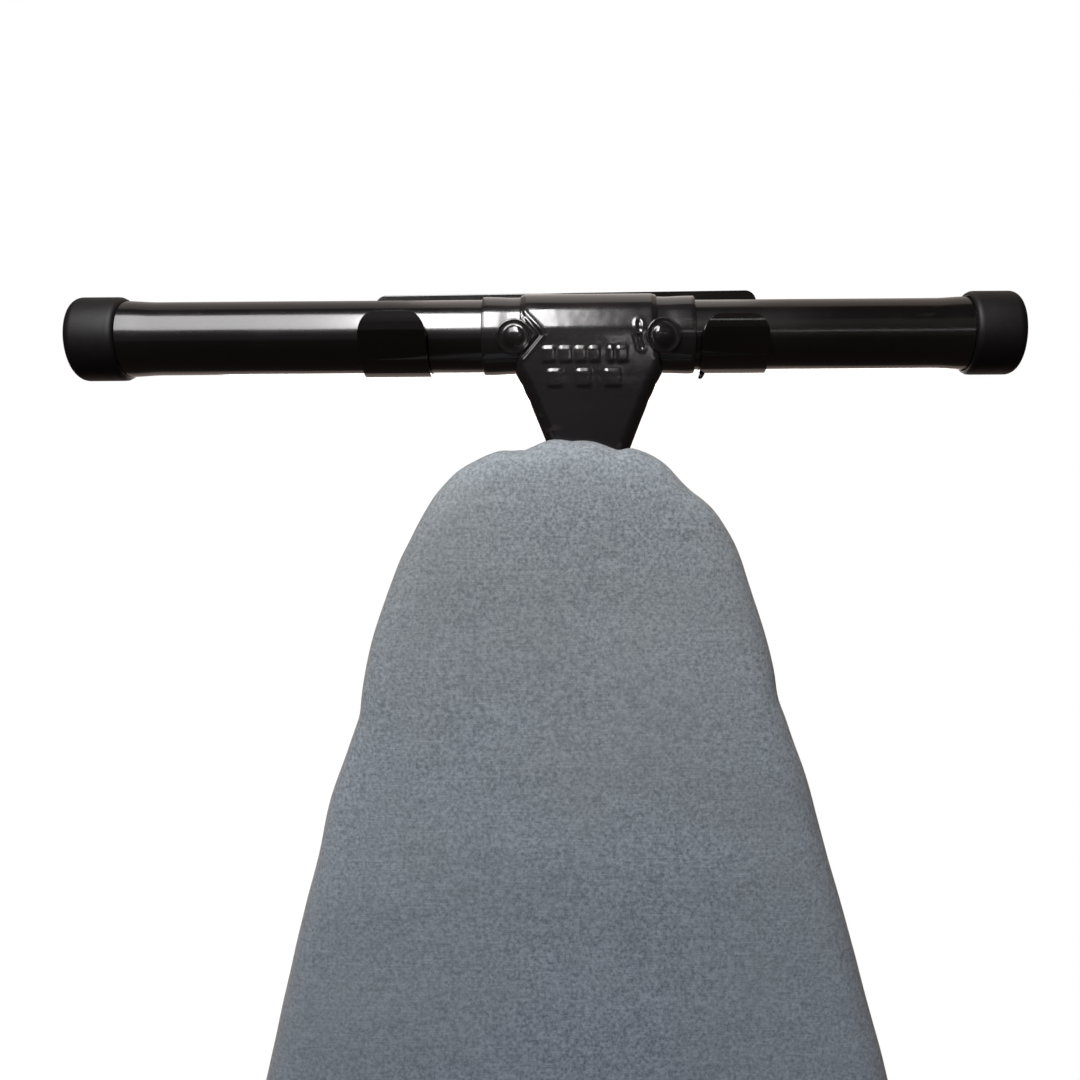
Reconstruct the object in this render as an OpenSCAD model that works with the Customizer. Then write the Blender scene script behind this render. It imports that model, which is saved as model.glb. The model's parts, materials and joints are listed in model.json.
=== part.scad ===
// Full-size ironing board with T-shaped folding legs, stored folded on a two-hook wall hanger.
// Frame: +Z up, the wall is the plane y = 0 and the board hangs on its -Y side, nose up.
// Origin: on the wall face, midway between the hanger's two screw holes. Millimetres.

/* [Wall hanger] */
// Width of the hanger plate across both hooks
hanger_w = 175; // [160:0.2:190]
// Thickness of the hanger's steel
hanger_t = 1.5; // [1.2:0.1:2]
// Width of each hook
hook_w = 28.8; // [24:0.2:32]
// Inside radius of the hooks
hook_r = 20.5; // [20.2:0.1:21.5]
// Distance between the two screw holes
screw_spacing = 140; // [136:1:146]
// Diameter of the screw holes
screw_hole_d = 5; // [4:0.1:5.5]
// Height of the screw holes above the axis of the hung foot tube
screw_rise = 15.5; // [15:0.5:17]
// Height of the plate's top edge above the screw holes
plate_rise = 7.5; // [6:0.5:12]

/* [Feet] */
// Outside diameter of the foot tubes
foot_d = 31.75; // [31:0.05:32]
// Wall of the foot tubes
foot_wall = 1.6; // [1.2:0.1:2]
// Length of each foot over its end caps
foot_len = 413.4; // [380:0.2:440]
// How far each foot's middle sits to one side of its leg
foot_shift = 18.5; // [0:0.5:25]
// Outside diameter of the end caps
cap_d = 36.4; // [35:0.1:37]
// Length of the end caps
cap_len = 22.5; // [20:0.5:32]

/* [Tee joints] */
// Length of the sleeve round the foot tube
sleeve_len = 92; // [84:1:100]
// Width of the tee shell where it wraps the foot tube
shell_w = 59; // [54:0.5:60]
// Distance from the foot's axis to where the shell has narrowed to the leg
shell_drop = 66; // [60:1:74]
// Thickness of the sleeve's and the shell's steel
shell_t = 1.4; // [1.2:0.05:1.45]

/* [Legs] */
// Outside diameter of the leg tubes
leg_d = 22.2; // [22:0.1:22.4]
// Wall of the leg tubes
leg_wall = 1.5; // [1.2:0.1:2]
// Gap between the two legs, which lie side by side
leg_gap = 2.8; // [2.6:0.1:3]
// Sideways place of the front leg from the hanger's middle
front_leg_x = 10.4; // [8:0.1:12]
// Distance from the crossing pivot up to the board's pivots
arm_up = 400; // [380:1:410]
// Distance from the crossing pivot to each foot's axis
arm_down = 660; // [640:1:670]
// How far the board's pivots stand in front of the legs' axes
pivot_reach = 19.8; // [19.5:0.1:20.5]
// Diameter of the cross rods and the crossing bolt
rod_d = 8; // [7.5:0.1:8]

/* [Board] */
// Length of the board over its cover
board_len = 1346; // [1320:1:1370]
// Width of the board over its cover
board_w = 336; // [320:1:350]
// Sideways place of the board's centre line from the hanger's middle
board_x = 3; // [0:0.1:5]
// Distance from the hung foot's axis down to the tip of the nose
nose_gap = 48.5; // [45:0.5:55]
// Radius of the nose
nose_r = 74; // [70:1:80]
// Half angle of the taper behind the nose
taper = 15.2; // [13:0.1:16]
// Radius of the corners at the square end
tail_r = 55; // [45:1:65]
// Depth of the steel top's turned-down rim
rim_depth = 16.8; // [15:0.1:17]
// Thickness of the pad
pad_t = 5.8; // [5:0.1:6]

/* [Height lock] */
// Half distance between the two slide rails
rail_half = 40; // [39:0.5:42]
// Angle at the board's pivots, between the board and the line to the crossing, when fully open
open_angle = 57; // [52:1:57]

/* [Hidden] */
$fn = 48;
fit_gap = 0.05;          // radial clearance of fixed and turning fits
rest_gap = 0.3;          // clearance between the foot tube and the hooks
eps = 0.01;
far = 1000;

foot_r = foot_d / 2;
cap_r = cap_d / 2;
leg_r = leg_d / 2;
rod_r = rod_d / 2;
sleeve_in = foot_r + fit_gap;
sleeve_out = sleeve_in + shell_t;
shell_in = sleeve_out + fit_gap;
shell_out = shell_in + shell_t;

// Hung foot, crossing and board pivots; every leg lies in the plane y = leg_y when folded
leg_y = -(hanger_t + hook_r);
foot_z = -screw_rise;
cross_z = foot_z - arm_down;
hinge_z = cross_z - arm_up;
slide_z = cross_z + arm_up;
rear_foot_z = cross_z - arm_down;
pivot_y = leg_y - pivot_reach;
rear_leg_x = front_leg_x - leg_d - leg_gap;
hook_z = foot_z + hook_r - foot_r - rest_gap;

// The sliding rod's travel: both arms from the crossing to the board's pivots are equally long
arm_len = norm([arm_up, pivot_reach]);
open_z = rod_height(open_angle);
function rod_height(a) = hinge_z + 2 * arm_len * cos(a);

// Board levels, from the leg side to the ironing side
under_y = pivot_y - 16.7;
sheet_t = 1.2;
panel_y = under_y - sheet_t;
rim_y = panel_y + rim_depth;
pad_y = panel_y - 0.1 - pad_t;
cover_t = 1.1;
cover_y = pad_y - 0.1 - cover_t;
hem_t = 1;
hem_y = rim_y + 0.2 + hem_t;
hem_w = 26;
panel_inset = 3;
pad_inset = 1.6;
nose_z = foot_z - nose_gap;
tail_z = nose_z - board_len;
blend_r = 600;           // radius where the taper eases into the parallel sides

rail_t = 2;
rail_top = slide_z + 22;
rail_bottom = open_z - 38;
bush_r = 6;
slot_w = 2 * bush_r + 0.4;
flange_w = 15;

// Height lock, on the sliding rod between the front leg and the right rail
latch_x = 31;
lock_w = 13;
lock_rise = 6.5;
lock_y = under_y + lock_rise;
cam_drop = 52;
lever_pin_y = pivot_y - 1.2;
lever_pin_z = slide_z - 30;
lever_t = 2.5;
pin_r = 2.5;

// ---------- shared shapes ----------

function arc(c, r, a0, a1, n) =
    [for (i = [0:n]) let (a = a0 + (a1 - a0) * i / n) [c[0] + r * cos(a), c[1] + r * sin(a)]];

// Right half of the board's outline, moved in by d, from the nose to the tail
function half_outline(d) =
    let (nose_c = nose_z - nose_r,
         blend_x = board_w / 2 - blend_r,
         blend_c = nose_c + (nose_r - blend_r - blend_x * cos(taper)) / sin(taper))
    concat(arc([0, nose_c], nose_r - d, 90, taper, 14),
           arc([blend_x, blend_c], blend_r - d, taper, 0, 8),
           arc([board_w / 2 - tail_r, tail_z + tail_r], tail_r - d, 0, -90, 10));

module outline(d) {
    half = half_outline(d);
    n = len(half);
    mirrored = [for (i = [n - 1:-1:1]) [-half[i][0], half[i][1]]];
    translate([board_x, 0]) polygon(concat(half, mirrored));
}

// Extrudes an x-z shape between two y planes, y_back being the nearer to the wall
module slab(y_back, y_front) {
    translate([0, y_back, 0]) rotate([90, 0, 0]) linear_extrude(height = y_back - y_front) children();
}

// Extrudes a y-z shape between two x planes
module plate(x0, x1) {
    translate([x0, 0, 0]) rotate([90, 0, 90]) linear_extrude(height = x1 - x0) children();
}

module rod_x(x0, x1, r) {
    translate([x0, 0, 0]) rotate([0, 90, 0]) cylinder(r = r, h = x1 - x0);
}

module ring_x(x0, x1, r_out, r_in) {
    difference() {
        rod_x(x0, x1, r_out);
        rod_x(x0 - 1, x1 + 1, r_in);
    }
}

module rounded_square(w, h, r) {
    square([w - 2 * r, h], center = true);
    square([w, h - 2 * r], center = true);
    for (sx = [-1, 1], sz = [-1, 1])
        translate([sx * (w / 2 - r), sz * (h / 2 - r)]) circle(r = r);
}

// ---------- wall hanger ----------

hook_tip_z = foot_z + 5.2;
hook_corner_r = 7;
plate_corner_r = 5;
nib_r = 1.1;             // stub left under the right hook where it hung for painting
nib_len = 2.4;
plate_top = plate_rise;
plate_bottom = foot_z - 12;

// Half ring under the foot tube; the flap in front carries on straight up to the tip
module hook_profile() {
    difference() {
        translate([-hook_r, 0]) circle(r = hook_r + hanger_t, $fn = 96);
        translate([-hook_r, 0]) circle(r = hook_r, $fn = 96);
        translate([-far, 0]) square(2 * far);
    }
    translate([-2 * hook_r - hanger_t, 0]) square([hanger_t, hook_tip_z - hook_z]);
}

module hook(side) {
    x_mid = side * (hanger_w - hook_w) / 2;
    bottom_z = hook_z - hook_r - hanger_t;
    plate(x_mid - hook_w / 2, x_mid + hook_w / 2) translate([-hanger_t, hook_z]) difference() {
        hook_profile();
        translate([-hook_r - 2 * far, -far]) square(2 * far);
    }
    intersection() {
        plate(x_mid - hook_w / 2, x_mid + hook_w / 2) translate([-hanger_t, hook_z]) hook_profile();
        slab(leg_y, -far) {
            translate([x_mid - hook_w / 2, bottom_z - 1])
                square([hook_w, hook_tip_z - hook_corner_r - bottom_z + 1]);
            translate([x_mid, hook_tip_z - hook_corner_r])
                rounded_square(hook_w, 2 * hook_corner_r, hook_corner_r - eps);
        }
    }
}

module wall_hanger() {
    middle_w = hanger_w - 2 * hook_w;
    color("#16151a") difference() {
        union() {
            slab(0, -hanger_t) {
                translate([-middle_w / 2, plate_bottom]) square([middle_w, plate_top - plate_bottom - 1]);
                translate([-hanger_w / 2, hook_z])
                    square([hanger_w, plate_top - plate_corner_r - hook_z]);
                translate([0, plate_top - plate_corner_r])
                    rounded_square(hanger_w, 2 * plate_corner_r, plate_corner_r - eps);
            }
            for (side = [-1, 1]) hook(side);
            translate([hanger_w / 2 - hook_w + 1.4, leg_y, hook_z - hook_r - hanger_t - nib_len])
                cylinder(r = nib_r, h = nib_len + hanger_t / 2);
        }
        for (side = [-1, 1])
            translate([side * screw_spacing / 2, 0, 0]) rotate([90, 0, 0])
                cylinder(d = screw_hole_d, h = 4 * hanger_t, center = true);
    }
}

// ---------- foot with tee joint, drawn with its leg going down from the foot's axis ----------

foot_x0 = -foot_shift - foot_len / 2;
foot_x1 = foot_x0 + foot_len;
cap_end = 3;
rivet_x = 32;
rivet_z = -3;            // the rivets sit a little below the foot's axis
rivet_r = 3;
rivet_head_r = 7.5;
collar_len = 16;
collar_r = leg_r + fit_gap + shell_t;
shell_shoulder = 17;     // depth below the foot's axis at which the shell starts to narrow

module rivet_holes() {
    for (side = [-1, 1])
        translate([side * rivet_x, 0, rivet_z]) rotate([90, 0, 0])
            cylinder(r = rivet_r + 0.1, h = far, center = true);
}

module foot_tube() {
    color("#131218") difference() {
        ring_x(foot_x0 + cap_end, foot_x1 - cap_end, foot_r, foot_r - foot_wall);
        rivet_holes();
    }
}

module foot_sleeve() {
    color("#17161b") difference() {
        ring_x(-sleeve_len / 2, sleeve_len / 2, sleeve_out, sleeve_in);
        rivet_holes();
    }
}

// Solid form of the tee shell, moved in by d all round
module tee_form(d) {
    slab_half = shell_out - 0.096 * shell_shoulder;
    corner_r = 8;
    hull() {
        rod_x(-shell_w / 2 + d, shell_w / 2 - d, shell_out - d, $fn = 64);
        for (sx = [-1, 1], sy = [-1, 1])
            translate([sx * (shell_w / 2 - corner_r), sy * (slab_half - corner_r), -shell_shoulder])
                cylinder(r = corner_r - d, h = 0.5, $fn = 32);
        translate([0, 0, -shell_drop]) cylinder(r = collar_r - d, h = 0.5, $fn = 64);
    }
}

module tee_half(side) {
    difference() {
        union() {
            tee_form(0);
            translate([0, 0, -shell_drop - collar_len]) cylinder(r = collar_r, h = collar_len + 1);
            intersection() {
                rod_x(-2 * rivet_x, 2 * rivet_x, shell_out);
                for (sx = [-1, 1])
                    translate([sx * rivet_x, 0, rivet_z]) rotate([90, 0, 0])
                        cylinder(r = rivet_head_r + 1.4, h = far, center = true);
            }
        }
        tee_form(shell_t);
        rod_x(-far, far, shell_in);
        translate([0, 0, -far - shell_shoulder]) cylinder(r = leg_r + fit_gap, h = far);
        rivet_holes();
        translate([-far, side < 0 ? -0.1 : -2 * far + 0.1, -far]) cube(2 * far);
    }
}

// Two stiffening beads pressed outwards across the front of the shell
bead_rise = 0.9;
bead_h = 5.6;
bead_z = [-10.4, -19.2];
bead_len = [37, 33];

module beads() {
    intersection() {
        difference() {
            tee_form(-bead_rise);
            tee_form(shell_t / 2);
        }
        for (i = [0, 1]) slab(-eps, -far) translate([0, bead_z[i]])
            rounded_square(bead_len[i], bead_h, bead_h / 2 - eps);
    }
}

module tee_shell() {
    color("#17161b") {
        tee_half(-1);
        beads();
    }
}

module tee_back() { color("#17161b") tee_half(1); }

// Domed head towards the user, low head towards the wall; both heads are flat underneath
module tee_rivets() {
    dome = 2.6;
    low = 0.45;
    low_r = 5.5;
    seat = shell_out + fit_gap;
    dome_r = (rivet_head_r * rivet_head_r + dome * dome) / (2 * dome);
    color("#1b1a1f") for (side = [-1, 1]) translate([side * rivet_x, 0, rivet_z]) {
        rotate([90, 0, 0]) translate([0, 0, -seat]) cylinder(r = rivet_r, h = 2 * seat);
        intersection() {
            translate([0, dome_r - seat - dome, 0]) sphere(r = dome_r, $fn = 96);
            translate([0, -seat, 0]) rotate([90, 0, 0]) cylinder(r = far, h = 2 * dome);
        }
        translate([0, seat, 0]) rotate([-90, 0, 0]) cylinder(r = low_r, h = low);
    }
}

// Slip-on cap, drawn from its closed end at z = 0
module foot_cap_form() {
    edge_r = 4.5;
    rotate_extrude($fn = 96) polygon(concat(
        [[0, 0]],
        arc([cap_r - edge_r, edge_r], edge_r, -90, 0, 8),
        [[cap_r, cap_len - 0.8], [cap_r - 0.8, cap_len], [foot_r + fit_gap, cap_len],
         [foot_r + fit_gap, cap_end], [0, cap_end]]));
}

module foot_cap_left() {
    color("#26242a") translate([foot_x0, 0, 0]) rotate([0, 90, 0]) foot_cap_form();
}

module foot_cap_right() {
    color("#26242a") translate([foot_x1, 0, 0]) rotate([0, -90, 0]) foot_cap_form();
}

// ---------- legs, drawn from the foot's axis down to the board's pivot ----------

leg_len = arm_up + arm_down;
leg_end = 16;
lug_half = 7;

module leg_tube() {
    color("#131218") difference() {
        translate([0, 0, -leg_len - leg_end]) cylinder(r = leg_r, h = leg_len + leg_end - sleeve_out - 1);
        translate([0, 0, -far * 2]) cylinder(r = leg_r - leg_wall, h = far * 2);
        translate([0, 0, -arm_down]) rod_x(-far, far, rod_r + fit_gap);
    }
}

module leg_plug() {
    color("#26242a") translate([0, 0, -leg_len - leg_end]) {
        translate([0, 0, -1.5]) cylinder(r = leg_r, h = 1.5);
        translate([0, 0, -eps]) cylinder(r = leg_r - leg_wall - fit_gap, h = 9);
    }
}

// Saddle with two ears that carries the cross rod in front of the tube
module rod_lug() {
    saddle_in = leg_r + fit_gap;
    ear_t = 2;
    color("#1b1a1f") translate([0, 0, -leg_len]) difference() {
        union() {
            intersection() {
                translate([0, 0, -14]) cylinder(r = saddle_in + 1.8, h = 28);
                translate([-10.5, -far, -14]) cube([21, far, 28]);
            }
            for (side = [-1, 1]) plate(side * lug_half - ear_t / 2, side * lug_half + ear_t / 2) {
                translate([-pivot_reach, 0]) circle(r = 8);
                translate([-pivot_reach, -8]) square([pivot_reach, 16]);
            }
        }
        translate([0, 0, -far]) cylinder(r = saddle_in, h = 2 * far);
        translate([-far, 0, -far]) cube(2 * far);
        translate([0, -pivot_reach, 0]) rod_x(-far, far, rod_r + fit_gap);
    }
}

// The rod's middle is the board's centre line; lean is where that lies from the leg's own axis
module cross_rod(lean) {
    rod_half = rail_half + 10;
    color("#8c8d90") translate([lean, -pivot_reach, -leg_len]) rod_x(-rod_half, rod_half, rod_r);
}

module push_nuts(lean, gap) {
    color("#8c8d90") translate([lean, -pivot_reach, -leg_len]) for (side = [-1, 1]) {
        x = side * (rail_half + rail_t / 2 + gap + 1.2);
        ring_x(x - 0.6, x + 0.6, 7, rod_r + 0.02);
        ring_x(x + side * 1.2 - 0.8, x + side * 1.2 + 0.8, 5.4, rod_r + 0.02);
    }
}

module slide_bush(side, lean) {
    web_out = rail_half + rail_t / 2;
    color("#e4e2da") translate([lean + side * rail_half, -pivot_reach, -leg_len]) difference() {
        union() {
            rod_x(-rail_t / 2 - 1.8, rail_t / 2 + 1.8, bush_r);
            for (s = [-1, 1]) {
                x = s * (rail_t / 2 + 1.1);
                rod_x(x - 0.7, x + 0.7, bush_r + 3);
            }
        }
        rod_x(-far, far, rod_r + 0.02);
    }
}

module place_front() { translate([front_leg_x, leg_y, foot_z]) children(); }

module place_rear() { translate([rear_leg_x, leg_y, rear_foot_z]) rotate([0, 180, 0]) children(); }

front_lean = board_x - front_leg_x;
rear_lean = rear_leg_x - board_x;

// ---------- crossing pivot ----------

cross_x0 = rear_leg_x - leg_r;
cross_x1 = front_leg_x + leg_r;
washer_t = 1.5;

module at_cross() { translate([0, leg_y, cross_z]) children(); }

module cross_bolt() {
    head_t = 4.5;
    color("#8c8d90") at_cross() {
        rod_x(cross_x0 - washer_t - 0.1, cross_x1 + washer_t + 8, rod_r);
        difference() {
            rod_x(cross_x0 - washer_t - 0.1 - head_t, cross_x0 - washer_t - 0.1, 7.5);
            translate([cross_x0 - washer_t - 0.1 - head_t, 0, 0]) rod_x(-1, 2.5, 2.9, $fn = 6);
        }
    }
}

module cross_nut() {
    nut_x = cross_x1 + washer_t + 0.1;
    color("#8c8d90") at_cross() difference() {
        union() {
            rod_x(nut_x, nut_x + 6.5, 7.5, $fn = 6);
            translate([nut_x + 6.5, 0, 0]) intersection() {
                sphere(r = 6.2);
                rod_x(-eps, 7, 6.2);
            }
        }
        rod_x(nut_x - 1, nut_x + 8.2, rod_r + 0.02);
    }
}

module cross_washers() {
    color("#8c8d90") at_cross() {
        ring_x(cross_x0 - washer_t - 0.05, cross_x0 - 0.05, 9, rod_r + 0.03);
        ring_x(cross_x1 + 0.05, cross_x1 + washer_t + 0.05, 9, rod_r + 0.03);
    }
}

module cross_spacer() {
    color("#26242a") at_cross()
        ring_x(rear_leg_x + leg_r + 0.1, front_leg_x - leg_r - 0.05, 11, rod_r + 0.03);
}

// ---------- board ----------

module top_panel() {
    lip = 5;
    color("#c9c9c6") difference() {
        slab(rim_y, panel_y) outline(panel_inset);
        slab(rim_y - sheet_t, under_y) outline(panel_inset + sheet_t);
        slab(rim_y + 1, under_y) outline(panel_inset + lip);
    }
}

module pad() {
    color("#d9d4c4") slab(panel_y - 0.1, pad_y) outline(pad_inset);
}

module cover() {
    color("#6b737b") difference() {
        slab(hem_y, cover_y) outline(0);
        slab(hem_y - hem_t, cover_y + cover_t) outline(cover_t);
        slab(hem_y + 1, cover_y + cover_t) outline(hem_w);
    }
}

rivet_flat_r = 4.5;

// Flange along the underside of the top, then a web standing out from it towards the legs
module web_profile(z0, z1, web_y) {
    translate([under_y, z0]) square([web_y - under_y, z1 - z0]);
}

module hinge_bracket(side) {
    web_y = pivot_y + 9;
    half_z = 20;
    color("#b9bbbd") translate([board_x + side * rail_half, 0, hinge_z]) difference() {
        union() {
            plate(-rail_t / 2, rail_t / 2) {
                translate([pivot_y, 0]) circle(r = 9);
                translate([under_y, -12]) square([pivot_y - under_y, 24]);
            }
            slab(under_y + rail_t, under_y) translate([side * flange_w / 2, 0])
                square([flange_w + rail_t, 2 * half_z], center = true);
        }
        translate([0, pivot_y, 0]) rod_x(-far, far, rod_r + fit_gap);
        flange_holes(side, [-13, 13]);
    }
}

module flange_holes(side, places) {
    for (z = places)
        translate([side * (flange_w / 2 + 1.5), under_y, z]) rotate([90, 0, 0])
            cylinder(r = 2.1, h = 10, center = true);
}

rail_rivets = [for (i = [0:4]) rail_bottom + 14 + (rail_top - rail_bottom - 28) * i / 4];

module slide_rail(side) {
    web_y = pivot_y + 11;
    color("#b9bbbd") translate([board_x + side * rail_half, 0, 0]) difference() {
        union() {
            plate(-rail_t / 2, rail_t / 2) web_profile(rail_bottom, rail_top, web_y);
            slab(under_y + rail_t, under_y)
                translate([side < 0 ? -flange_w - rail_t / 2 : -rail_t / 2, rail_bottom])
                    square([flange_w + rail_t, rail_top - rail_bottom]);
        }
        plate(-far, far) {
            translate([pivot_y - slot_w / 2, open_z]) square([slot_w, slide_z - open_z]);
            for (z = [open_z, slide_z]) translate([pivot_y, z]) circle(r = slot_w / 2);
        }
        flange_holes(side, rail_rivets);
    }
}

lock_top = slide_z - cam_drop + 16;
lock_bottom = open_z - cam_drop - 16;
lock_tab = 13;

// Channel whose flat back the lever's cam grips at any height, with a riveted tab at each end
module lock_rail() {
    wall = 1.5;
    color("#b9bbbd") difference() {
        union() {
            difference() {
                slab(lock_y, under_y) translate([latch_x - lock_w / 2, lock_bottom])
                    square([lock_w, lock_top - lock_bottom]);
                slab(lock_y - wall, under_y - 1) translate([latch_x - lock_w / 2 + wall, lock_bottom - 1])
                    square([lock_w - 2 * wall, lock_top - lock_bottom + 2]);
            }
            for (z = [lock_bottom - lock_tab, lock_top - 1])
                slab(under_y + wall, under_y) translate([latch_x - lock_w / 2, z])
                    square([lock_w, lock_tab + 1]);
        }
        for (z = [lock_bottom - lock_tab / 2, lock_top + lock_tab / 2])
            translate([latch_x, under_y, z]) rotate([90, 0, 0]) cylinder(r = 2.1, h = 10, center = true);
    }
}

// Blind rivets through the flanges: a low head and a short shank each
module flat_rivet(x, y, z) {
    translate([x, y, z]) rotate([-90, 0, 0]) {
        cylinder(r = 2, h = 2.2, center = true);
        translate([0, 0, 0.05]) cylinder(r1 = rivet_flat_r - 0.5, r2 = 2.6, h = 1.3);
    }
}

module board_rivets() {
    flange_x = rail_half + flange_w / 2 + 1.5;
    color("#8c8d90") {
        for (side = [-1, 1]) {
            for (z = rail_rivets) flat_rivet(board_x + side * flange_x, under_y + rail_t, z);
            for (z = [-13, 13]) flat_rivet(board_x + side * flange_x, under_y + rail_t, hinge_z + z);
        }
        for (z = [lock_bottom - lock_tab / 2, lock_top + lock_tab / 2])
            flat_rivet(latch_x, under_y + 1.5, z);
    }
}

// ---------- height lock ----------

ear_in = 3.2;            // inside face of the ear on the front leg's side, from latch_x
ear_far = 5.2;           // inside face of the ear on the rail's side, which leaves room for the spring
ear_t = 1.8;
base_y = lock_y + 0.5;

module latch_carriage() {
    color("#b9bbbd") difference() {
        union() {
            for (x = [latch_x - ear_in - ear_t, latch_x + ear_far]) plate(x, x + ear_t) {
                translate([pivot_y, slide_z]) circle(r = 7.5);
                translate([lever_pin_y, lever_pin_z]) circle(r = 6);
                translate([base_y, slide_z - 12]) square([pivot_y - base_y, 24]);
                translate([lever_pin_y - 4, lever_pin_z]) square([9, slide_z - lever_pin_z]);
            }
            slab(base_y + ear_t, base_y) translate([latch_x - ear_in - ear_t, slide_z - 12])
                square([ear_in + ear_far + 2 * ear_t, 24]);
        }
        translate([0, pivot_y, slide_z]) rod_x(-far, far, rod_r + fit_gap);
        translate([0, lever_pin_y, lever_pin_z]) rod_x(-far, far, pin_r + fit_gap);
    }
}

// Outline of the lever: cam below the pin, arm that passes behind the sliding rod, then the handle
module lever_outline() {
    face_y = lock_y + 0.3;
    cam_z = slide_z - cam_drop;
    polygon([
        [face_y, cam_z - 3.2], [face_y + 1.6, cam_z - 4.4],
        [lever_pin_y + 4.5, cam_z - 3.5], [lever_pin_y + 6, lever_pin_z - 6],
        [pivot_y + 19, slide_z - 14], [pivot_y + 21, slide_z + 12],
        [pivot_y + 25.5, slide_z + 32], [pivot_y + 25.5, slide_z + 92],
        [pivot_y + 16.5, slide_z + 92], [pivot_y + 16.5, slide_z + 36],
        [pivot_y + 13.5, slide_z + 14], [pivot_y + 12.5, slide_z - 8],
        [lever_pin_y - 4.5, lever_pin_z + 2], [lever_pin_y - 4.5, cam_z + 8],
        [face_y + 1.2, cam_z + 4], [face_y, cam_z + 2.8]]);
}

module latch_lever() {
    color("#8c8d90") difference() {
        plate(latch_x - lever_t / 2, latch_x + lever_t / 2) lever_outline();
        translate([0, lever_pin_y, lever_pin_z]) rod_x(-far, far, pin_r + fit_gap);
    }
}

module lever_grip() {
    grip_t = 9.6;
    grip_r = 6;
    color("#26242a") difference() {
        plate(latch_x - grip_t / 2, latch_x + grip_t / 2)
            translate([pivot_y + 21, slide_z + 69]) rounded_square(15, 56, grip_r);
        plate(latch_x - lever_t / 2 - fit_gap, latch_x + lever_t / 2 + fit_gap)
            translate([pivot_y + 16.5 - fit_gap, slide_z - 10]) square([9 + 2 * fit_gap, 102 + fit_gap]);
    }
}

module lever_pin() {
    pin_x0 = latch_x - ear_in - ear_t - 0.1;
    pin_x1 = latch_x + ear_far + ear_t + 0.1;
    color("#8c8d90") translate([0, lever_pin_y, lever_pin_z]) {
        rod_x(pin_x0 - 0.6, pin_x1 + 0.6, pin_r);
        rod_x(pin_x0 - 1.4, pin_x0, 4);
        rod_x(pin_x1, pin_x1 + 1.4, 4);
    }
}

// Torsion spring: points along the coil, then a tube swept along them
spring_wire_r = 0.45;
spring_r = pin_r + 1.1;
spring_turns = 3;
function spring_path() =
    let (n = 16 * spring_turns, x0 = latch_x + lever_t / 2 + 0.8)
    concat([[x0, lever_pin_y + 11, lever_pin_z + spring_r]],
           [for (i = [0:n]) let (a = 90 - 360 * spring_turns * i / n)
               [x0 + 2.6 * i / n, lever_pin_y + spring_r * cos(a), lever_pin_z + spring_r * sin(a)]],
           [[x0 + 2.6, lever_pin_y + 7, lever_pin_z + spring_r]]);

function unit(v) = v / norm(v);

module swept_tube(path, r, sides) {
    n = len(path);
    rings = [for (i = [0:n - 1])
        let (t = unit(path[min(i + 1, n - 1)] - path[max(i - 1, 0)]),
             u = unit(cross(t, abs(t[0]) > 0.9 ? [0, 1, 0] : [1, 0, 0])),
             w = cross(t, u))
        for (k = [0:sides - 1]) path[i] + r * (cos(360 * k / sides) * u + sin(360 * k / sides) * w)];
    walls = [for (i = [0:n - 2], k = [0:sides - 1])
        let (a = i * sides + k, b = i * sides + (k + 1) % sides)
        each [[a, b, b + sides], [a, b + sides, a + sides]]];
    ends = [[for (k = [sides - 1:-1:0]) k], [for (k = [0:sides - 1]) (n - 1) * sides + k]];
    polyhedron(points = rings, faces = concat(walls, ends), convexity = 4);
}

module lever_spring() {
    color("#8c8d90") swept_tube(spring_path(), spring_wire_r, 8);
}

// ---------- nodes ----------

wall_hanger();

place_front() leg_tube();  // front_leg_tube
place_front() foot_tube();  // front_foot_tube
place_front() foot_sleeve();  // front_foot_sleeve
place_front() tee_shell();  // front_tee_shell
place_front() tee_back();  // front_tee_back
place_front() tee_rivets();  // front_tee_rivets
place_front() foot_cap_left();  // front_foot_cap_left
place_front() foot_cap_right();  // front_foot_cap_right
place_front() rod_lug();  // front_rod_lug
place_front() cross_rod(front_lean);  // front_cross_rod
place_front() push_nuts(front_lean, 0.4);  // front_push_nuts
place_front() leg_plug();  // front_leg_plug

place_rear() leg_tube();  // rear_leg_tube
place_rear() foot_tube();  // rear_foot_tube
place_rear() foot_sleeve();  // rear_foot_sleeve
place_rear() tee_shell();  // rear_tee_shell
place_rear() tee_back();  // rear_tee_back
place_rear() tee_rivets();  // rear_tee_rivets
place_rear() foot_cap_right();  // rear_foot_cap_left
place_rear() foot_cap_left();  // rear_foot_cap_right
place_rear() rod_lug();  // rear_rod_lug
place_rear() cross_rod(rear_lean);  // rear_cross_rod
place_rear() push_nuts(rear_lean, 2.2);  // rear_push_nuts
place_rear() leg_plug();  // rear_leg_plug
place_rear() slide_bush(1, rear_lean);  // slide_bush_left
place_rear() slide_bush(-1, rear_lean);  // slide_bush_right

cross_bolt();
cross_nut();
cross_washers();
cross_spacer();

top_panel();
pad();
cover();
hinge_bracket(-1);  // hinge_bracket_left
hinge_bracket(1);  // hinge_bracket_right
slide_rail(-1);  // slide_rail_left
slide_rail(1);  // slide_rail_right
lock_rail();
board_rivets();

latch_carriage();
latch_lever();
lever_grip();
lever_pin();
lever_spring();
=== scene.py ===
"""Looks, light and camera for the folded ironing board on its wall hanger."""
import json
import math

import bpy
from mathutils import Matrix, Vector, noise

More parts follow.
